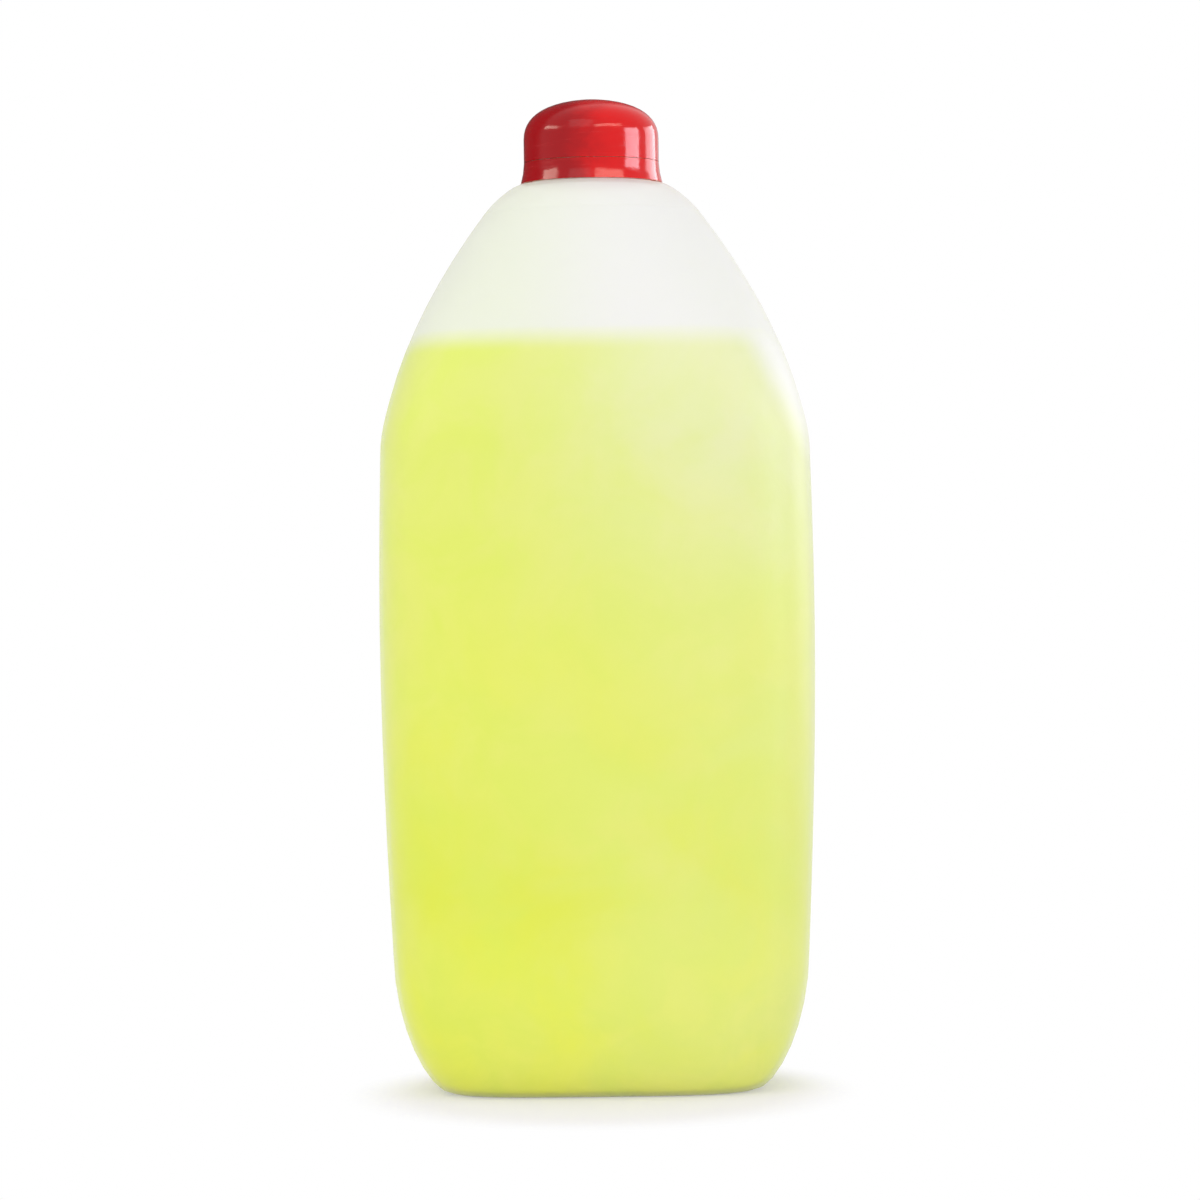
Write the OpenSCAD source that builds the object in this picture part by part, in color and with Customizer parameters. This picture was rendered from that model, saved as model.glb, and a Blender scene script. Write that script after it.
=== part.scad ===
// Translucent cleaner bottle with a screw cap and a tamper ring.
// Millimetres. The origin is the centre of the base on the ground, +Z is up,
// +X is along the width and the wide front faces -Y.

/* [Body] */
// Width of the body at its widest place
body_w = 127.4; // [116:0.2:140]
// Depth of the body at its deepest place
body_d = 110; // [98:0.2:122]
// Height at which the body is widest
belly_z = 136; // [115:1:155]
// Height of the rounded heel above the ground
heel_h = 40; // [34:1:46]
// How far the body draws in from its widest place down to the heel
heel_inset = 2.8; // [2:0.1:4]
// How far the edge of the foot lies inside the widest place
foot_inset = 18.6; // [16:0.2:22]
// Squareness of the body's section, where 2 is an ellipse
section_power = 4; // [3:0.25:5]

/* [Shoulder] */
// Height at which the upright side ends
shoulder_z = 186; // [176:1:194]
// How far the side draws in from its widest place up to the shoulder
shoulder_inset = 0.8; // [0.3:0.1:1.2]
// Height of the bend that turns the side into the slope
brow_h = 16.5; // [13:0.5:19]
// How far that bend draws in at the narrow sides
brow_inset_w = 3; // [2:0.25:4]
// How far that bend draws in at the front and back
brow_inset_d = 1.2; // [0.8:0.1:1.6]
// Height of the slope from the bend up to the crown
slope_h = 54.7; // [48:0.1:62]
// Radius of the round crown where the slope reaches it
crown_r = 32; // [29:0.5:35]
// Height of the crown, up to the land around the neck
crown_h = 8.7; // [7:0.1:10]

/* [Wall and base] */
// Thickness of the blown wall
body_wall = 1; // [0.8:0.1:1.6]
// Width of the flat ring that the bottle stands on
foot_ring = 7; // [5:0.5:9]
// Height of the hollow under the base
base_rise = 4; // [2:0.5:6]

/* [Neck] */
// Diameter of the hole through the neck
neck_bore = 29.5; // [27:0.5:31]
// Diameter of the neck between its threads
neck_d = 34.9; // [34:0.1:36]
// Width of the flat land around the neck
land_w = 3.05; // [2.6:0.05:3.5]
// Height of the neck above the land
neck_h = 16.6; // [16:0.2:18]
// Height of the retaining bead's underside above the land
bead_z = 4.8; // [4.4:0.1:5.2]
// Height of the retaining bead
bead_h = 1.6; // [1.2:0.1:1.8]
// How far the retaining bead stands out from the neck
bead_out = 1.55; // [1.2:0.05:1.8]
// Radius of the fillet at the neck's root
root_fillet = 0.8; // [0.4:0.1:1.2]

/* [Thread] */
// Rise of the thread in one turn
thread_pitch = 4.2; // [3.9:0.1:4.5]
// Length of the thread in turns
thread_turns = 1.2; // [1:0.05:1.3]
// Height of the ridges
thread_out = 1.2; // [0.9:0.1:1.3]
// Width of the neck's ridge at its root
neck_ridge_w = 2.2; // [1.8:0.1:2.4]
// Width of the cap's ridge at its root
cap_ridge_w = 1.6; // [1.2:0.1:1.8]
// Height of the start of the neck's ridge above the land
thread_z = 8.7; // [8.5:0.1:9.2]

/* [Fits] */
// Gap between the ridges and the wall that they face
thread_gap = 0.3; // [0.2:0.05:0.4]
// Gap between the flanks of the two ridges
thread_play = 0.25; // [0.15:0.05:0.35]
// Gap between the tamper ring and the bead or the land
ring_gap = 0.3; // [0.2:0.05:0.4]
// Gap along the break line between the cap and the tamper ring
break_gap = 0.15; // [0.15:0.05:0.3]
// Gap between the broken bridges and the cap
bridge_gap = 0.05; // [0.02:0.01:0.1]
// Gap between the liner and what it seals against
liner_gap = 0.05; // [0.02:0.01:0.1]
// Gap between the liquid and the wall
liquid_gap = 0.3; // [0.2:0.05:0.5]

/* [Cap] */
// Thickness of the cap's wall
cap_wall = 1; // [0.9:0.05:1.2]
// Height of the cap's top above the liner's upper face
cap_crown = 7; // [6.6:0.1:7.8]
// Height of the rounding from the skirt up to the top
cap_round_h = 11.5; // [10.5:0.25:12.5]
// Width of the rounding seen from above
cap_round_w = 15.5; // [14:0.25:16.5]
// How far the middle of the top stands above the edge of the rounding
cap_dome = 0.15; // [0.05:0.05:0.3]
// Width of the rib that presses on the liner
rib_w = 1.4; // [1:0.1:1.8]
// Width of the chamfer at the mouth of the cap
mouth_chamfer = 0.4; // [0.2:0.1:0.6]

/* [Tamper ring] */
// Height of the ring
ring_h = 6; // [5.8:0.1:6.2]
// How far the ring flares out towards its lower edge
ring_flare = 1; // [0.6:0.1:1.2]
// How far the ring's hook reaches in under the bead
hook_in = 1; // [0.7:0.05:1.1]
// Height of the hook
hook_h = 2.2; // [1.8:0.1:2.6]
// Number of bridges left along the break line
bridge_n = 8; // [4:1:12]
// Width of each bridge
bridge_w = 0.9; // [0.6:0.1:1.2]

/* [Liner] */
// Thickness of the foam liner
liner_t = 1.2; // [1:0.1:1.5]
// How far the liner's edge lies inside the outside of the neck
liner_in = 0.65; // [0.5:0.05:0.9]

/* [Liquid] */
// Height of the liquid's surface above the ground
liquid_z = 221; // [205:1:228]

/* [Hidden] */
$fn = 96;
tiny = 0.01;

// Points round each section of the body, and steps along each curve
section_n = 48;
short_curve_n = 3;
curve_n = 6;
long_curve_n = 8;
dome_n = 12;

// Heights of the places where one curve ends and the next begins
brow_z = shoulder_z + brow_h;
slope_z = brow_z + slope_h;
land_z = slope_z + crown_h;
neck_z = land_z + neck_h;

// Slopes of the shoulder's curves, as change of half width over change of height
brow_lean_w = 0.27;
brow_lean_d = 0.1;
crown_lean = 0.76;

// How far the handles of each curve reach, as shares of its own width and height
foot_reach = 0.34;
heel_reach = [0.01, 0.52];
side_reach = 0.55;
bend_reach = [0.36, 0.3];
crown_reach = [0.4, 0.35];
dome_reach = [0.33, 0.46];

// The body's upper end is tucked into the wall of the neck piece
lap = 0.3;
tongue = 0.6;

// Shape of the thread's ridges: angle of a step and of the faded ends, depth
// sunk into the wall, slope of the flanks, and where the cap's ridge starts
ridge_step = 10;
ridge_fade = 30;
ridge_sunk = 0.35;
ridge_flank = 0.3;
cap_thread_lag = 50;

// The cap's ridge runs this far under the neck's ridge
ridge_drop = (neck_ridge_w + cap_ridge_w) / 2 - ridge_flank * (thread_out - thread_gap)
    + thread_play;

// Radii of the neck and of what goes over it
neck_r = neck_d / 2;
bore_r = neck_bore / 2;
land_r = neck_r + land_w;
bead_r = neck_r + bead_out;
thread_r = neck_r + thread_out;
lip_chamfer = 0.4;
throat_round = 1.5;
skirt_r = thread_r + thread_gap;
cap_r = skirt_r + cap_wall;

// The rib stands this far inside the lip's edge, and ends this share into the wall
rib_margin = 0.6;
rib_sunk = 0.6;

// How far the dome has dropped at the upper handle of its curve
dome_drop = 1.36;

// Share of the flare that the ring has reached at half its height
flare_share = 0.3;

// Share of the ring's wall that the bridges take
bridge_share = 0.8;

// Heights of the ring, the cap and the liner
ring_z = land_z + ring_gap;
cap_z = ring_z + ring_h + break_gap;
liner_z = neck_z + liner_gap;
seat_z = liner_z + liner_t + liner_gap;
cap_top = seat_z + cap_crown;

// Point at share t of a cubic curve with four control points
function bezier(p, t) =
    pow(1 - t, 3) * p[0] + 3 * pow(1 - t, 2) * t * p[1]
    + 3 * (1 - t) * t * t * p[2] + t * t * t * p[3];

// Points along a curve after its first point
function curve(p, n) = [for (i = [1 : n]) bezier(p, i / n)];

// Unit normal at point i of a path, to the right of its way
function path_normal(path, i) =
    let (a = path[max(i - 1, 0)], b = path[min(i + 1, len(path) - 1)], d = b - a)
    [d[1], -d[0]] / norm(d);

// Side view of the body from its foot to its crown, for one half width and
// the inset and lean of its upper bend
function body_side(half, brow_inset, brow_lean) =
    let (foot = [half - foot_inset, 0],
         heel = [half - heel_inset, heel_h],
         belly = [half, belly_z],
         shoulder = [half - shoulder_inset, shoulder_z],
         brow = [half - shoulder_inset - brow_inset, brow_z],
         crown = [crown_r, slope_z],
         low_h = belly_z - heel_h,
         high_h = shoulder_z - belly_z)
    concat(
        [foot],
        curve([foot, foot + [foot_inset * foot_reach, 0],
               heel - [foot_inset * heel_reach[0], heel_h * heel_reach[1]], heel],
              long_curve_n),
        curve([heel, heel + [heel_inset * side_reach, low_h / 3],
               belly - [0, low_h / 3], belly], curve_n),
        curve([belly, belly + [0, high_h / 3],
               shoulder + [shoulder_inset * side_reach, -high_h / 3], shoulder], short_curve_n),
        curve([shoulder, shoulder + [0, brow_h * bend_reach[0]],
               brow + [brow_lean, -1] * brow_h * bend_reach[1], brow], curve_n),
        curve([brow, brow + [-brow_lean, 1] * slope_h / 3,
               crown + [crown_lean, -1] * slope_h / 3, crown], long_curve_n));

wide_side = body_side(body_w / 2, brow_inset_w, brow_lean_w);
deep_side = body_side(body_d / 2, brow_inset_d, brow_lean_d);
last = len(wide_side) - 1;

// Section power at a height: square over the body, round at the crown
function section_at(z) =
    let (s = max(0, min(1, (z - shoulder_z) / (slope_z - shoulder_z))))
    section_power + (2 - section_power) * s * s * (3 - 2 * s);

// A level of the body, inset from its outside: half width, half depth, height, power
function level(i, inset) =
    let (nw = path_normal(wide_side, i), nd = path_normal(deep_side, i),
         z = wide_side[i][1] - inset * nw[1])
    i == 0
        ? [wide_side[0][0], deep_side[0][0], inset, section_power]
        : [wide_side[i][0] - inset * nw[0], deep_side[i][0] - inset * nd[0], z,
           section_at(wide_side[i][1])];

// Levels of the hollow under the base, from the middle outwards
function base_levels(inset) =
    let (w = body_w / 2 - foot_inset - foot_ring + inset * tan(45 / 2),
         d = body_d / 2 - foot_inset - foot_ring + inset * tan(45 / 2))
    [[w - base_rise, d - base_rise, base_rise + inset, section_power],
     [w, d, inset, section_power]];

// Levels of the side from the foot up to just under the crown
function side_levels(inset) = [for (i = [0 : last - 1]) level(i, inset)];

// Round level of a given radius
function round_level(r, z) = [r, r, z, 2];

// Points of a level, anticlockwise seen from above
function level_points(v) =
    [for (k = [0 : section_n - 1])
        let (a = 360 * k / section_n, c = cos(a), s = sin(a), e = 2 / v[3])
        [v[0] * sign(c) * pow(abs(c), e), v[1] * sign(s) * pow(abs(s), e), v[2]]];

// Closed skin over a list of levels, with a middle point at each end
module skin(levels) {
    n = section_n;
    m = len(levels);
    start = m * n;
    finish = m * n + 1;
    rings = [for (v = levels) each level_points(v)];
    ends = [[0, 0, levels[0][2]], [0, 0, levels[m - 1][2]]];
    sides = [for (i = [0 : m - 2], k = [0 : n - 1])
        let (a = i * n + k, b = i * n + (k + 1) % n)
        each [[a, a + n, b + n], [a, b + n, b]]];
    first_cap = [for (k = [0 : n - 1]) [start, k, (k + 1) % n]];
    last_cap = [for (k = [0 : n - 1])
        [(m - 1) * n + k, finish, (m - 1) * n + (k + 1) % n]];
    polyhedron(points = concat(rings, ends),
               faces = concat(sides, first_cap, last_cap), convexity = 6);
}

function reversed(v) = [for (i = [len(v) - 1 : -1 : 0]) v[i]];

// Wall of the body measured along the level, where the crown begins
crown_wall = body_wall * sqrt(1 + crown_lean * crown_lean);

// Blown body from the base up to the crown, hollow, open at the top
module body_shell() {
    joint_r = crown_r + crown_lean * lap;
    middle_r = crown_r - crown_wall / 2 - crown_lean * tongue;
    half_tongue = crown_wall / 4;
    skin(concat(
        base_levels(0),
        side_levels(0),
        [round_level(joint_r, slope_z - lap),
         round_level(middle_r + half_tongue, slope_z + tongue),
         round_level(middle_r - half_tongue, slope_z + tongue),
         round_level(joint_r - crown_wall, slope_z - lap)],
        reversed(side_levels(body_wall)),
        reversed(base_levels(body_wall))));
}

// Outside of the crown from the slope up to the land
crown_path = concat([[crown_r, slope_z]],
    curve([[crown_r, slope_z],
           [crown_r, slope_z] + [-crown_lean, 1] * crown_h * crown_reach[0],
           [land_r + crown_h * crown_reach[1], land_z],
           [land_r, land_z]], long_curve_n));

crown_inside = [for (i = [1 : long_curve_n])
    crown_path[i] - body_wall * path_normal(crown_path, i)];

// Crown and neck in one turned profile, with the bead and the land
module neck_shell() {
    fillet = [for (a = [0 : 30 : 90])
        [neck_r + root_fillet * (1 - sin(a)), land_z + root_fillet * (1 - cos(a))]];
    outside = concat(
        crown_path,
        fillet,
        [[neck_r, land_z + bead_z],
         [bead_r, land_z + bead_z],
         [bead_r, land_z + bead_z + bead_h / 2],
         [neck_r, land_z + bead_z + bead_h],
         [neck_r, neck_z - lip_chamfer],
         [neck_r - lip_chamfer, neck_z],
         [bore_r, neck_z]]);
    inside = concat(
        [[bore_r, land_z - body_wall + throat_round],
         [bore_r + throat_round, land_z - body_wall]],
        reversed(crown_inside),
        [[crown_r - crown_wall, slope_z]]);
    rotate_extrude() polygon(concat(outside, inside));
}

// Ridge that winds up a wall, from one angle to another
// side is 1 on the outside of a shaft and -1 inside a hole
module ridge(wall_r, side, root_w, from_a, to_a, start_z) {
    n = round((to_a - from_a) / ridge_step);
    rings = [for (i = [0 : n])
        let (a = from_a + (to_a - from_a) * i / n,
             share = min(1, (a - from_a) / ridge_fade, (to_a - a) / ridge_fade),
             out = -ridge_sunk / 2 + (thread_out + ridge_sunk / 2) * share,
             z = start_z + thread_pitch * a / 360,
             root = root_w / 2 + ridge_flank * ridge_sunk,
             crest = root_w / 2 - ridge_flank * out,
             root_r = wall_r - side * ridge_sunk,
             crest_r = wall_r + side * out)
        each [for (q = [[root_r, z - root], [crest_r, z - crest],
                        [crest_r, z + crest], [root_r, z + root]])
            [q[0] * cos(a), q[0] * sin(a), q[1]]]];
    sides = [for (i = [0 : n - 1], k = [0 : 3])
        let (a = 4 * i + k, b = 4 * i + (k + 1) % 4)
        each (side > 0 ? [[a, b, b + 4], [a, b + 4, a + 4]]
                       : [[a, b + 4, b], [a, a + 4, b + 4]])];
    first_cap = side > 0 ? [[0, 2, 1], [0, 3, 2]] : [[0, 1, 2], [0, 2, 3]];
    e = 4 * n;
    last_cap = side > 0 ? [[e, e + 1, e + 2], [e, e + 2, e + 3]]
                        : [[e, e + 2, e + 1], [e, e + 3, e + 2]];
    polyhedron(points = rings, faces = concat(sides, first_cap, last_cap), convexity = 4);
}

module bottle() {
    color([0.93, 0.94, 0.88]) union() {
        body_shell();
        neck_shell();
        ridge(neck_r, 1, neck_ridge_w, 0, 360 * thread_turns, land_z + thread_z);
    }
}

// Outside and inside of the cap's dome, from the skirt to the middle
dome_path = concat([[cap_r, cap_top - cap_round_h]],
    curve([[cap_r, cap_top - cap_round_h],
           [cap_r, cap_top - cap_round_h * dome_reach[1]],
           [cap_r - cap_round_w * dome_reach[0], cap_top - dome_drop],
           [cap_r - cap_round_w, cap_top - cap_dome]], dome_n));

dome_inside = [for (i = [1 : len(dome_path) - 1])
    dome_path[i] - cap_wall * path_normal(dome_path, i)];

// Height of the dome's outside at a radius
function dome_z(r) = lookup(r, [for (q = dome_path) [q[0], q[1]]]);

module cap() {
    rib_out = neck_r - lip_chamfer - rib_margin;
    rib_in = rib_out - rib_w;
    color([0.78, 0.11, 0.12]) union() {
        rotate_extrude() polygon(concat(
            [[skirt_r + mouth_chamfer, cap_z], [cap_r, cap_z]],
            dome_path,
            [[0, cap_top], [0, cap_top - cap_wall]],
            reversed(dome_inside),
            [[skirt_r, cap_top - cap_round_h],
             [skirt_r, cap_z + mouth_chamfer]]));
        rotate_extrude() polygon([
            [rib_in, seat_z], [rib_out, seat_z],
            [rib_out, dome_z(rib_out) - cap_wall * rib_sunk],
            [rib_in, dome_z(rib_in) - cap_wall * rib_sunk]]);
        ridge(skirt_r, -1, cap_ridge_w, cap_thread_lag, cap_thread_lag + 360 * thread_turns,
              land_z + thread_z - ridge_drop);
    }
}

module tamper_ring() {
    top = ring_z + ring_h;
    top_in = bead_r + ring_gap;
    hook_r = bead_r - hook_in;
    hook_top = land_z + bead_z - ring_gap;
    foot_in = top_in + ring_flare / 2;
    color([0.76, 0.1, 0.12]) union() {
        rotate_extrude() polygon([
            [cap_r, top], [top_in, top],
            [top_in, hook_top + ring_gap], [hook_r, hook_top],
            [hook_r, hook_top - hook_h / 2], [foot_in, hook_top - hook_h],
            [foot_in, ring_z], [cap_r + ring_flare, ring_z],
            [cap_r + ring_flare * flare_share, ring_z + ring_h / 2]]);
        for (k = [0 : bridge_n - 1])
            rotate([0, 0, 360 * k / bridge_n])
                translate([top_in, -bridge_w / 2, top - tiny])
                    cube([(cap_r - top_in) * bridge_share, bridge_w, break_gap - bridge_gap + tiny]);
    }
}

module cap_liner() {
    color([0.95, 0.95, 0.93])
        translate([0, 0, liner_z])
            cylinder(r = neck_r - liner_in, h = liner_t);
}

// Liquid that fills the body up to its surface
module cleaner_liquid() {
    inset = body_wall + liquid_gap;
    all_levels = side_levels(inset);
    under = [for (v = all_levels) if (v[2] < liquid_z - 1) v];
    low = under[len(under) - 1];
    high = all_levels[len(under)];
    share = (liquid_z - low[2]) / (high[2] - low[2]);
    color([0.9, 0.94, 0.45])
        skin(concat(base_levels(inset), under, [low + (high - low) * share]));
}

bottle();
tamper_ring();
cap();
cap_liner();
cleaner_liquid();
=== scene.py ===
import math

import bpy
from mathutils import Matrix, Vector


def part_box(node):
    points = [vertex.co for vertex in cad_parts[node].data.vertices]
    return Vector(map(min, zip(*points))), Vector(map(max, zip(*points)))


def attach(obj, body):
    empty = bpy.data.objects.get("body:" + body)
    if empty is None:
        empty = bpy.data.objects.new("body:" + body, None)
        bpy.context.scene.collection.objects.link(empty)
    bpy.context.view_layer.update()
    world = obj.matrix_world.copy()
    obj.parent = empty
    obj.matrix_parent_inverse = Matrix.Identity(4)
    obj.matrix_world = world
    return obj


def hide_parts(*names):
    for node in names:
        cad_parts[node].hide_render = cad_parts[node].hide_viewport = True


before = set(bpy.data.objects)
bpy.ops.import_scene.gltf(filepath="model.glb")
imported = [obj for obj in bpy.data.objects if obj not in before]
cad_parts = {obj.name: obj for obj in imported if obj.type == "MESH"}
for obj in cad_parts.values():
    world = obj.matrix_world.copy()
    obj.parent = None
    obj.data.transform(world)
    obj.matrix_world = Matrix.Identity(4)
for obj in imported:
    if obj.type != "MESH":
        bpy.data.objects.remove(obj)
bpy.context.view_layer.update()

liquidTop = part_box("cleaner_liquid")[1].z
scene = bpy.context.scene
for piece in bpy.context.selected_objects:
    piece.select_set(False)
print("frame loaded:", sorted(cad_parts))


# camera, as far and as high as in the photograph
cameraView = {
    "lens": 136.1,  # mm
    "sensorWidth": 36,  # mm
    "distance": 1.342,
    "height": 0.143,
    "sideways": 0.0009,
    "roll": 0.74,  # degrees, the bottle's top leans left
}


def placeCamera():
    data = bpy.data.cameras.new("photoCamera")
    data.lens = cameraView["lens"]
    data.sensor_width = cameraView["sensorWidth"]
    camera = bpy.data.objects.new("photoCamera", data)
    camera.location = (cameraView["sideways"], -cameraView["distance"], cameraView["height"])
    camera.rotation_euler = (math.radians(90), math.radians(cameraView["roll"]), 0)
    scene.collection.objects.link(camera)
    scene.camera = camera


placeCamera()
scene.view_settings.view_transform = "Standard"
print("camera placed")


# small helpers for node trees, where a source is a socket or a plain value

def addNode(tree, kind, place, **settings):
    node = tree.nodes.new(kind)
    node.location = place
    for name, value in settings.items():
        setattr(node, name, value)
    return node


def setInputs(node, **values):
    for name, value in values.items():
        node.inputs[name.replace("_", " ")].default_value = value
    return node


def feed(tree, source, socket):
    if isinstance(source, bpy.types.NodeSocket):
        tree.links.new(source, socket)
    elif socket.type == "RGBA":
        socket.default_value = (*source, 1)
    else:
        socket.default_value = source


def addMath(tree, place, operation, *terms, clamp=False):
    node = addNode(tree, "ShaderNodeMath", place, operation=operation, use_clamp=clamp)
    for term, socket in zip(terms, node.inputs):
        feed(tree, term, socket)
    return node.outputs[0]


def addRange(tree, place, value, edges=(0, 1), results=(0, 1), smooth=True):
    node = addNode(tree, "ShaderNodeMapRange", place,
                   interpolation_type="SMOOTHSTEP" if smooth else "LINEAR")
    names = ("Value", "From Min", "From Max", "To Min", "To Max")
    for source, name in zip((value, *edges, *results), names):
        feed(tree, source, node.inputs[name])
    return node.outputs[0]


def addColourMix(tree, place, share, first, second):
    node = addNode(tree, "ShaderNodeMix", place, data_type="RGBA")
    for source, index in ((share, 0), (first, 6), (second, 7)):
        feed(tree, source, node.inputs[index])
    return node.outputs[2]


def addColourRamp(tree, place, share, stops):
    node = addNode(tree, "ShaderNodeValToRGB", place)
    elements = node.color_ramp.elements
    while len(elements) < len(stops):
        elements.new(0.5)
    for element, (position, colour) in zip(elements, stops):
        element.position = position
        element.color = (*colour, 1)
    feed(tree, share, node.inputs[0])
    return node.outputs[0]


def splitPosition(tree, place, position):
    node = addNode(tree, "ShaderNodeSeparateXYZ", place)
    tree.links.new(position, node.inputs[0])
    return node.outputs


def addBump(tree, shader, height, strength, distance):
    bump = addNode(tree, "ShaderNodeBump", (-250, -500))
    setInputs(bump, Strength=strength, Distance=distance)
    tree.links.new(height, bump.inputs["Height"])
    tree.links.new(bump.outputs[0], shader.inputs["Normal"])


def startMaterial(name):
    material = bpy.data.materials.new(name)
    material.use_nodes = True
    tree = material.node_tree
    coordinates = addNode(tree, "ShaderNodeTexCoord", (-1400, 0))
    return material, tree, tree.nodes["Principled BSDF"], coordinates.outputs["Object"]


# shared effects, each a node group that reads a position in metres

def startGroup(name, inputs, outputs):
    group = bpy.data.node_groups.new(name, "ShaderNodeTree")
    group.interface.new_socket("Position", in_out="INPUT", socket_type="NodeSocketVector")
    for direction, sockets in (("INPUT", inputs), ("OUTPUT", outputs)):
        for socket in sockets:
            group.interface.new_socket(socket, in_out=direction, socket_type="NodeSocketFloat")
    inside = addNode(group, "NodeGroupInput", (-1000, 0))
    outside = addNode(group, "NodeGroupOutput", (600, 0))
    return group, inside.outputs, outside.inputs


def placeGroup(tree, group, place, position, **values):
    node = addNode(tree, "ShaderNodeGroup", place, node_tree=group)
    tree.links.new(position, node.inputs["Position"])
    return setInputs(node, **values).outputs


def addNoise(tree, place, position, size, **settings):
    scale = addMath(tree, (place[0] - 200, place[1] - 100), "DIVIDE", 1, size)
    noise = setInputs(addNode(tree, "ShaderNodeTexNoise", place), **settings)
    tree.links.new(scale, noise.inputs["Scale"])
    tree.links.new(position, noise.inputs["Vector"])
    return noise.outputs[0]


def makeCloudGroup():
    group, given, wanted = startGroup("mottleClouds", ("Size", "Softness"), ("Mask",))
    noise = addNoise(group, (-400, 0), given["Position"], given["Size"],
                     Detail=4, Roughness=0.55, Distortion=0.6)
    low = addMath(group, (-400, -300), "SUBTRACT", 0.5, given["Softness"])
    high = addMath(group, (-400, -450), "ADD", 0.5, given["Softness"])
    mask = addRange(group, (100, 0), noise, (low, high))
    group.links.new(mask, wanted["Mask"])
    return group


def makeGrainGroup():
    group, given, wanted = startGroup("mouldGrain", ("Grain Size", "Wave Size", "Wave Share"),
                                      ("Height",))
    mix = addNode(group, "ShaderNodeMix", (100, 0), data_type="FLOAT")
    group.links.new(given["Wave Share"], mix.inputs[0])
    for row, name in enumerate(("Grain Size", "Wave Size")):
        height = addNoise(group, (-400, -260 * row), given["Position"], given[name],
                          Detail=2, Roughness=0.5)
        group.links.new(height, mix.inputs[2 + row])
    group.links.new(mix.outputs[0], wanted["Height"])
    return group


def makeScuffGroup():
    group, given, wanted = startGroup("handlingScuffs", ("Length", "Amount", "Roughness"),
                                      ("Roughness", "Mask"))
    stretch = addNode(group, "ShaderNodeMapping", (-800, 300))
    setInputs(stretch, Scale=(1, 1, 9), Rotation=(0.35, 0.15, 0))
    group.links.new(given["Position"], stretch.inputs["Vector"])
    lines = addNoise(group, (-550, 100), stretch.outputs[0], given["Length"],
                     Detail=5, Roughness=0.7, Distortion=0.2)
    worn = addRange(group, (-300, 100), lines, (0.56, 0.72), smooth=False)
    amount = addMath(group, (0, 0), "MULTIPLY", worn, given["Amount"])
    total = addMath(group, (250, 0), "ADD", amount, given["Roughness"], clamp=True)
    group.links.new(total, wanted["Roughness"])
    group.links.new(worn, wanted["Mask"])
    return group


cloudGroup = makeCloudGroup()
grainGroup = makeGrainGroup()
scuffGroup = makeScuffGroup()


# milky wall of the bottle, tinted by what stands behind it
milkyWall = {
    "emptyColour": (0.88, 0.915, 0.79),
    "emptyLitRight": (0.93, 0.932, 0.93),
    "emptyLitSideways": (-0.03, 0.016),  # from the left colour to the right one: painted light, a painted reflection of the liquid at the left and a painted highlight at the right
    "tintAndLightStops": [  # share of the liquid's height, colour of the wall over it; partly painted light: painted lighter at the base against its shade, and paler towards the surface where light enters
        (0.0, (0.97, 1.0, 0.12)), (0.1, (0.89, 0.965, 0.10)), (0.26, (0.81, 0.89, 0.085)),
        (0.55, (0.84, 0.91, 0.15)), (1.0, (0.81, 0.89, 0.24)),
    ],
    "clouds": [
        {"colour": (0.85, 0.90, 0.26), "size": 0.045, "softness": 0.16, "share": 0.35},
        {"colour": (0.75, 0.91, 0.12), "size": 0.022, "softness": 0.14, "share": 0.45},
    ],
    "milkHighlightColour": (0.91, 0.91, 0.87),
    "highlightSideways": (-0.045, 0.055),  # painted highlight: the wall is painted whiter to the right ...
    "highlightUpwards": (0.13, 0.218),  # ... and towards the shoulder, where the light falls
    "highlightShare": (0.14, 0.63),
    "highlightUneven": (0.8, 1.15),
    "highlightBandSlope": 0.55,  # a painted highlight band, whiter and more opaque, slants down the corner of the right shoulder
    "highlightBandEdge": (0.159, 0.17),
    "highlightBandFront": (0.006, -0.026),
    "highlightBandShare": 0.78,
    "highlightBandAlpha": 0.92,
    "lineFade": (-0.007, 0.001),  # the tint fades out from below to above the surface
    "alpha": 0.6,
    "roughness": 0.5,
    "scuffs": {"Length": 0.05, "Amount": 0.1},
    "grain": {"Grain_Size": 0.0012, "Wave_Size": 0.03, "Wave_Share": 0.7},
    "bump": (0.25, 0.0004),  # strength and depth
}


def addWallTint(tree, position, x, z):  # the liquid's colour, as the wall dims and clouds it, with painted light: lighter at the base, and a painted highlight whiter to the right and towards the shoulder
    look = milkyWall
    # the liquid's colour by height, with painted light: lighter at the base, paler towards the
    # surface
    depth = addRange(tree, (-1000, 300), z, (0, liquidTop), smooth=False)
    colour = addColourRamp(tree, (-800, 300), depth, look["tintAndLightStops"])
    masks = []
    for row, cloud in enumerate(look["clouds"]):
        mask = placeGroup(tree, cloudGroup, (-1000, -50 - 850 * row), position,
                          Size=cloud["size"], Softness=cloud["softness"])["Mask"]
        share = addMath(tree, (-800, -50 - 850 * row), "MULTIPLY", mask, cloud["share"])
        colour = addColourMix(tree, (-450, 250 + 200 * row), share, colour, cloud["colour"])
        masks.append(mask)
    # painted highlight: whiter to the right and towards the shoulder, uneven by the clouds
    sideways = addRange(tree, (-1000, 900), x, look["highlightSideways"])
    upwards = addRange(tree, (-1000, 1200), z, look["highlightUpwards"], look["highlightShare"])
    uneven = addRange(tree, (-800, 1400), masks[0], results=look["highlightUneven"], smooth=False)
    paintedHighlight = addMath(tree, (-700, 900), "MULTIPLY", sideways, upwards)
    highlightShare = addMath(tree, (-500, 900), "MULTIPLY", paintedHighlight, uneven, clamp=True)
    return addColourMix(tree, (-300, 600), highlightShare, colour, look["milkHighlightColour"])


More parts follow.
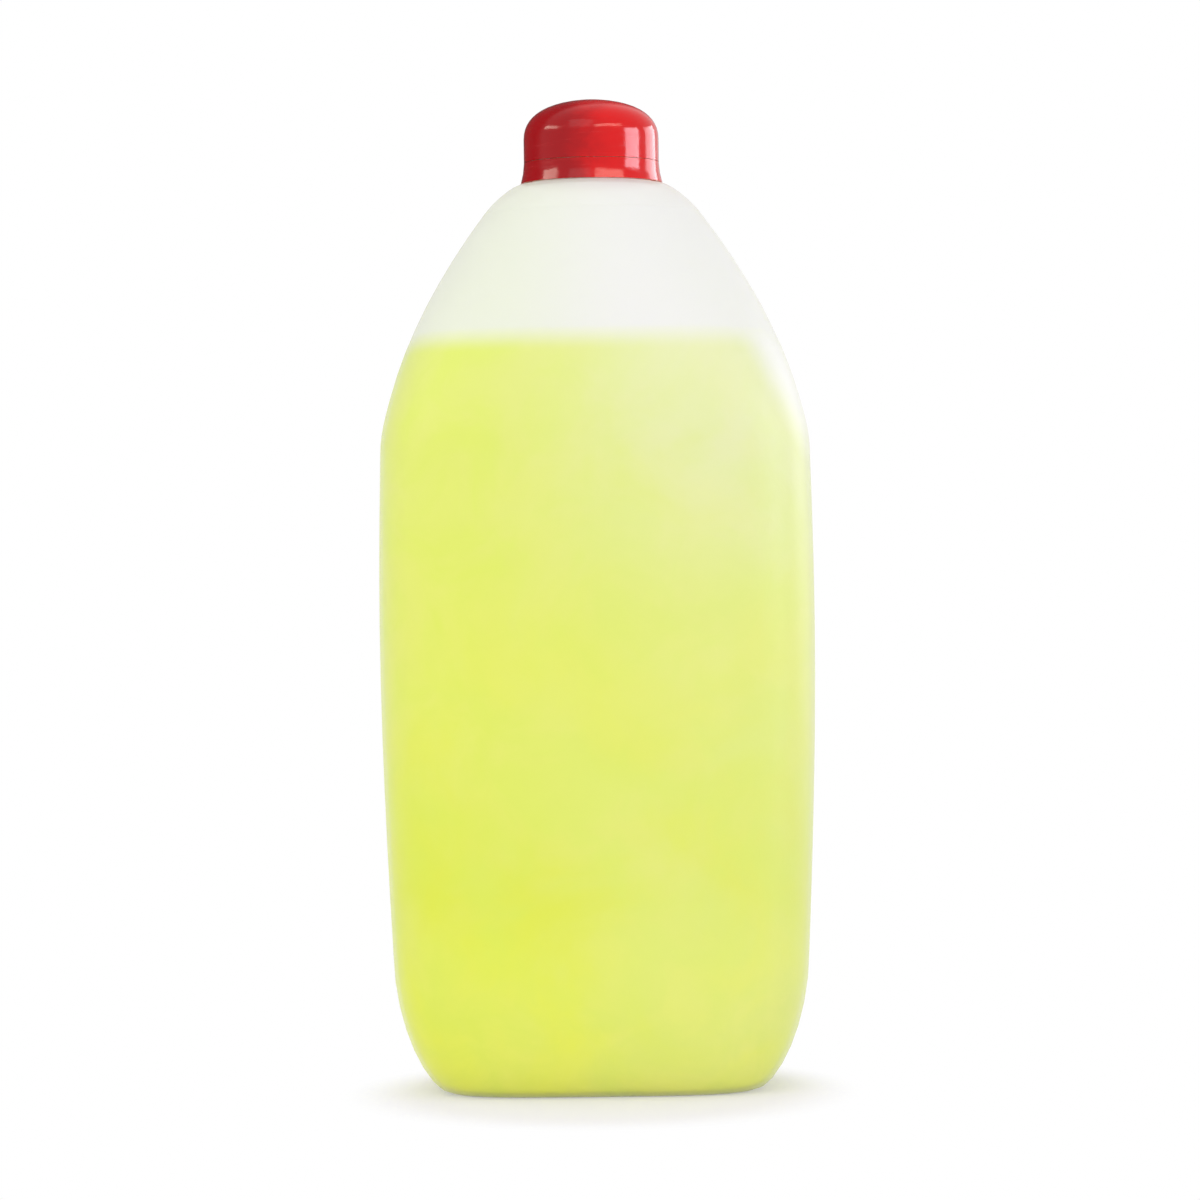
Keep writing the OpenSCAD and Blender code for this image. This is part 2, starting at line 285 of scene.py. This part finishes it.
def addHighlightBand(tree, x, y, z):  # 1 on the painted highlight band of the right shoulder
    look = milkyWall
    slant = addMath(tree, (-1000, 1700), "MULTIPLY_ADD", z, look["highlightBandSlope"], x)
    slanted = addRange(tree, (-800, 1700), slant, look["highlightBandEdge"], (0, look["highlightBandShare"]))
    front = addRange(tree, (-800, 2000), y, look["highlightBandFront"])
    return addMath(tree, (-650, 1850), "MULTIPLY", slanted, front)


def makeMilkyWall():
    look = milkyWall
    material, tree, shader, position = startMaterial("milkyWall")
    link = tree.links.new
    x, y, z = splitPosition(tree, (-1200, 100), position)
    tinted = addWallTint(tree, position, x, z)
    # painted light: the empty shoulder is painted whiter to the right, a painted highlight
    emptyShare = addRange(tree, (-600, 1200), x, look["emptyLitSideways"])
    empty = addColourMix(tree, (-300, 1000), emptyShare, look["emptyColour"],
                         look["emptyLitRight"])
    # painted highlight: a whiter band down the right shoulder
    band = addHighlightBand(tree, x, y, z)
    surface = [liquidTop + shift for shift in look["lineFade"]]
    full = addRange(tree, (-800, 550), z, surface, (1, 0))
    offBand = addMath(tree, (-600, 1700), "SUBTRACT", 1, band)
    tintShare = addMath(tree, (-400, 550), "MULTIPLY", full, offBand)
    link(addColourMix(tree, (-200, 300), tintShare, empty, tinted), shader.inputs["Base Color"])

    scuffs = placeGroup(tree, scuffGroup, (-700, -250), position, **look["scuffs"],
                        Roughness=look["roughness"])
    link(scuffs["Roughness"], shader.inputs["Roughness"])
    grain = placeGroup(tree, grainGroup, (-700, -500), position, **look["grain"])
    addBump(tree, shader, grain["Height"], *look["bump"])
    setInputs(shader, IOR=1.5, Specular_IOR_Level=0.16, Sheen_Weight=0.5, Sheen_Roughness=0.4)

    rays = addNode(tree, "ShaderNodeLightPath", (-900, -800)).outputs
    passing = addMath(tree, (-700, -800), "MAXIMUM", rays["Is Shadow Ray"],
                      rays["Is Diffuse Ray"])  # light passes through the wall
    # the wall is more opaque on the painted highlight band
    bandBelow = addMath(tree, (-900, -1000), "MULTIPLY", band, full)
    wallAlpha = addRange(tree, (-700, -1000), bandBelow, results=(look["alpha"], look["highlightBandAlpha"]),
                     smooth=False)
    link(addRange(tree, (-450, -800), passing, results=(wallAlpha, 0), smooth=False),
         shader.inputs["Alpha"])
    return material


# the liquid itself
liquidLook = {
    "colour": (0.78, 0.87, 0.08),
    "deepColour": (0.70, 0.82, 0.05),
    "roughness": 0.45,  # the milky wall blurs what its surface mirrors
    "clouds": {"Size": 0.06, "Softness": 0.2},
    "grain": {"Grain_Size": 0.01, "Wave_Size": 0.04, "Wave_Share": 0.8},
    "bump": (0.1, 0.0005),
}


def makeLiquid():
    look = liquidLook
    material, tree, shader, position = startMaterial("yellowGreenLiquid")
    clouds = placeGroup(tree, cloudGroup, (-900, 100), position, **look["clouds"])
    colour = addColourMix(tree, (-400, 200), clouds["Mask"], look["deepColour"],
                          look["colour"])
    tree.links.new(colour, shader.inputs["Base Color"])
    grain = placeGroup(tree, grainGroup, (-700, -400), position, **look["grain"])
    addBump(tree, shader, grain["Height"], *look["bump"])
    setInputs(shader, Roughness=look["roughness"], IOR=1.34, Specular_IOR_Level=0.3)
    return material


# glossy red plastic of the cap and its band
redPlastic = {
    "colour": (0.76, 0.010, 0.011),
    "shadedColour": (0.37, 0.006, 0.009),
    "shadeEdge": (-0.006, 0.008),  # painted shade: the red is painted darker to the left, away from the light
    "shadeWave": 0.004,
    "clouds": {"Size": 0.012, "Softness": 0.2},
    "roughness": 0.12,
    "scuffColour": (0.62, 0.03, 0.03),
    "scuffShare": 0.2,
    "scuffs": {"Length": 0.012, "Amount": 0.22},
    "grain": {"Grain_Size": 0.0006, "Wave_Size": 0.008, "Wave_Share": 0.6},
    "bump": (0.07, 0.0002),
}


def makeRedPlastic():
    look = redPlastic
    material, tree, shader, position = startMaterial("redPlastic")
    clouds = placeGroup(tree, cloudGroup, (-1100, 200), position, **look["clouds"])
    x = splitPosition(tree, (-1100, 450), position)[0]
    # painted shade: darker to the left, its edge wobbled by the clouds
    shadeSide = addMath(tree, (-950, 300), "MULTIPLY_ADD", clouds["Mask"], look["shadeWave"], x)
    edge = addRange(tree, (-850, 450), shadeSide, look["shadeEdge"])
    shadedRed = addColourMix(tree, (-700, 200), edge, look["shadedColour"], look["colour"])
    scuffs = placeGroup(tree, scuffGroup, (-1100, -100), position, **look["scuffs"],
                        Roughness=look["roughness"])
    share = addMath(tree, (-700, -50), "MULTIPLY", scuffs["Mask"], look["scuffShare"])
    colour = addColourMix(tree, (-350, 200), share, shadedRed, look["scuffColour"])
    tree.links.new(colour, shader.inputs["Base Color"])
    tree.links.new(scuffs["Roughness"], shader.inputs["Roughness"])
    grain = placeGroup(tree, grainGroup, (-700, -450), position, **look["grain"])
    addBump(tree, shader, grain["Height"], *look["bump"])
    setInputs(shader, IOR=1.46, Specular_IOR_Level=0.22)
    return material


# foam disc inside the cap
foamLook = {
    "colour": (0.86, 0.86, 0.83),
    "poreColour": (0.74, 0.74, 0.71),
    "poreSize": 0.0007,
    "poreEdge": (0.1, 0.5),
    "bump": (0.4, 0.0002),
    "roughness": 0.8,
}


def makeFoam():
    look = foamLook
    material, tree, shader, position = startMaterial("whiteFoam")
    pores = addNode(tree, "ShaderNodeTexVoronoi", (-900, 100))
    setInputs(pores, Scale=1 / look["poreSize"])
    tree.links.new(position, pores.inputs["Vector"])
    edge = addRange(tree, (-650, 100), pores.outputs["Distance"], look["poreEdge"],
                    smooth=False)
    colour = addColourMix(tree, (-350, 200), edge, look["poreColour"], look["colour"])
    tree.links.new(colour, shader.inputs["Base Color"])
    addBump(tree, shader, edge, *look["bump"])
    setInputs(shader, Roughness=look["roughness"])
    return material


finishes = {
    "bottle": makeMilkyWall(),
    "cleaner_liquid": makeLiquid(),
    "cap_liner": makeFoam(),
}
finishes["cap"] = finishes["tamper_ring"] = makeRedPlastic()
for name, material in finishes.items():
    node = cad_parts[name]
    node.data.materials.clear()
    node.data.materials.append(material)
print("materials made:", sorted({material.name for material in finishes.values()}))


# these curve without facets, so smooth copies stand for their nodes
# an edge that turns by more degrees than the crease stays sharp
smoothPieces = {
    "bottle": {"piece": "blownBottle", "body": "bottle", "slot": "milky_plastic", "crease": 32},
    "cleaner_liquid": {"piece": "liquidFill", "body": "bottle", "slot": "yellow_green_liquid",
                       "crease": 32},
    "cap": {"piece": "mouldedCap", "body": "cap", "slot": "red_plastic", "crease": 28},
    "tamper_ring": {"piece": "tamperBand", "body": "bottle", "slot": "red_plastic",
                    "crease": 28},
}
mergeDistance = 0.000002  # joins the loose triangles of a node's mesh


def makeSmoothPiece(nodeName, plan):
    piece = bpy.data.objects.new(plan["piece"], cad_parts[nodeName].data.copy())
    scene.collection.objects.link(piece)
    bpy.context.view_layer.objects.active = piece
    piece.select_set(True)
    bpy.ops.object.mode_set(mode="EDIT")
    bpy.ops.mesh.select_all(action="SELECT")
    bpy.ops.mesh.remove_doubles(threshold=mergeDistance)
    bpy.ops.mesh.customdata_custom_splitnormals_clear()
    bpy.ops.object.mode_set(mode="OBJECT")
    bpy.ops.object.shade_smooth_by_angle(angle=math.radians(plan["crease"]))
    piece.select_set(False)
    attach(piece, plan["body"])
    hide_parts(nodeName)


for name, plan in smoothPieces.items():
    makeSmoothPiece(name, plan)
print("smooth pieces made")


# floor and room
room = {
    "floorSize": 12,
    "floorDrop": 0.0002,  # the floor lies this far below the base
    "floorColour": (0.92, 0.875, 1),
    "ambient": 0.875,  # strength of the white world on the object
    "shadowSize": (0.075, 0.1),  # half width and half depth of the patch that shows shade
    "shadowForward": 0.02,
    "shadowFade": (0.68, 1.02),  # shares of that size between which the shade fades out
    "shadowDepth": 0.68,
}


def addSeenRays(tree):  # 1 for what the camera, gloss or glass sees
    rays = addNode(tree, "ShaderNodeLightPath", (-900, 400)).outputs
    seen = addMath(tree, (-650, 400), "MAXIMUM", rays["Is Camera Ray"], rays["Is Glossy Ray"])
    return addMath(tree, (-450, 400), "MAXIMUM", seen, rays["Is Transmission Ray"])


def showMix(tree, share, first, second, output):
    mix = addNode(tree, "ShaderNodeMixShader", (250, 0))
    for source, socket in zip((share, first.outputs[0], second.outputs[0]), mix.inputs):
        tree.links.new(source, socket)
    tree.links.new(mix.outputs[0], tree.nodes[output].inputs["Surface"])


def makeFloor():
    bpy.ops.mesh.primitive_plane_add(size=room["floorSize"],
                                     location=(0, 0, -room["floorDrop"]))
    floor = bpy.context.object
    floor.name = "studioFloor"
    material, tree, shader, position = startMaterial("paleFloor")
    setInputs(shader, Base_Color=(*room["floorColour"], 1), Roughness=0.9,
              Specular_IOR_Level=0.1)
    halfWidth, halfDepth = room["shadowSize"]
    patch = addNode(tree, "ShaderNodeMapping", (-1100, 200))
    setInputs(patch, Scale=(1 / halfWidth, 1 / halfDepth, 1),
              Location=(0, room["shadowForward"] / halfDepth, 0))
    tree.links.new(position, patch.inputs["Vector"])
    middle = addNode(tree, "ShaderNodeVectorMath", (-900, 0), operation="LENGTH")
    tree.links.new(patch.outputs[0], middle.inputs[0])
    far = addRange(tree, (-650, 0), middle.outputs["Value"], room["shadowFade"],
                   (1 - room["shadowDepth"], 1))
    white = addMath(tree, (-250, 300), "MULTIPLY", addSeenRays(tree), far)
    glow = addNode(tree, "ShaderNodeEmission", (0, -300))
    showMix(tree, white, shader, glow, "Material Output")
    floor.data.materials.append(material)


# a dark card behind to the left keeps the cap's rim from turning pale
darkCard = {
    "place": (-0.1, 0.14, 0.38),
    "turn": 35.5,  # degrees
    "size": (0.58, 0.5),
    "fade": (0.26, 0.5),  # shares of its size between which it fades out
    "colour": (0.1, 0.085, 0.085),
}


def makeCard():
    bpy.ops.mesh.primitive_plane_add(size=1, location=darkCard["place"],
                                     rotation=(math.radians(90), 0, math.radians(darkCard["turn"])))
    card = bpy.context.object
    card.name = "darkCard"
    card.scale = (*darkCard["size"], 1)
    material, tree, shader, position = startMaterial("blackPaper")
    setInputs(shader, Base_Color=(*darkCard["colour"], 1), Roughness=1)
    middle = addNode(tree, "ShaderNodeVectorMath", (-700, 0), operation="LENGTH")
    tree.links.new(position, middle.inputs[0])
    soft = addRange(tree, (-450, 0), middle.outputs["Value"], darkCard["fade"], (1, 0))
    tree.links.new(soft, shader.inputs["Alpha"])
    card.data.materials.append(material)
    for ray in ("camera", "diffuse", "shadow", "transmission"):
        setattr(card, "visible_" + ray, False)


def makeWorld():
    world = bpy.data.worlds.new("whiteStudio")
    scene.world = world
    world.use_nodes = True
    tree = world.node_tree
    lit = tree.nodes["Background"]
    setInputs(lit, Color=(1, 1, 1, 1), Strength=room["ambient"])
    white = addNode(tree, "ShaderNodeBackground", (0, -200))
    setInputs(white, Color=(1, 1, 1, 1), Strength=1)
    showMix(tree, addSeenRays(tree), lit, white, "World Output")


# azimuth is 0 in front and 90 to the right, as the camera sees it
lamps = [
    {"name": "frontFill", "azimuth": -20, "height": 1.75, "distance": 1.7, "size": (1.4, 1.2),
     "radiance": 1.5, "colour": (1, 1, 1), "highlightOnly": False},
    {"name": "frontStrip", "azimuth": 32, "height": 1.32, "distance": 1.7, "size": (1.6, 0.28),
     "radiance": 11, "colour": (1, 0.85, 0.72), "highlightOnly": True},
    {"name": "leftStrip", "azimuth": -76, "height": 1.06, "distance": 1.7, "size": (0.9, 0.28),
     "radiance": 13, "colour": (1, 0.85, 0.72), "highlightOnly": True},
    {"name": "windowNear", "azimuth": 75, "height": 0.42, "distance": 1.3, "size": (0.65, 0.64),
     "radiance": 19, "colour": (0.8, 0.9, 1), "highlightOnly": True},
    {"name": "windowFar", "azimuth": 124, "height": 0.42, "distance": 1.3, "size": (0.8, 0.6),
     "radiance": 7, "colour": (0.95, 0.94, 1), "highlightOnly": True},
]
lampAim = Vector((0, 0, 0.17))


def addLamp(lamp):
    data = bpy.data.lights.new(lamp["name"], "AREA")
    data.shape = "RECTANGLE"
    data.size, data.size_y = lamp["size"]
    data.energy = lamp["radiance"] * math.pi * data.size * data.size_y
    data.color = lamp["colour"]
    thing = bpy.data.objects.new(lamp["name"], data)
    turn = math.radians(lamp["azimuth"])
    thing.location = (math.sin(turn) * lamp["distance"], -math.cos(turn) * lamp["distance"],
                      lamp["height"])
    thing.rotation_euler = (lampAim - thing.location).to_track_quat("-Z", "Y").to_euler()
    thing.visible_camera = False
    thing.visible_diffuse = not lamp["highlightOnly"]
    scene.collection.objects.link(thing)


makeFloor()
makeCard()
makeWorld()
for lamp in lamps:
    addLamp(lamp)
print("studio lit")
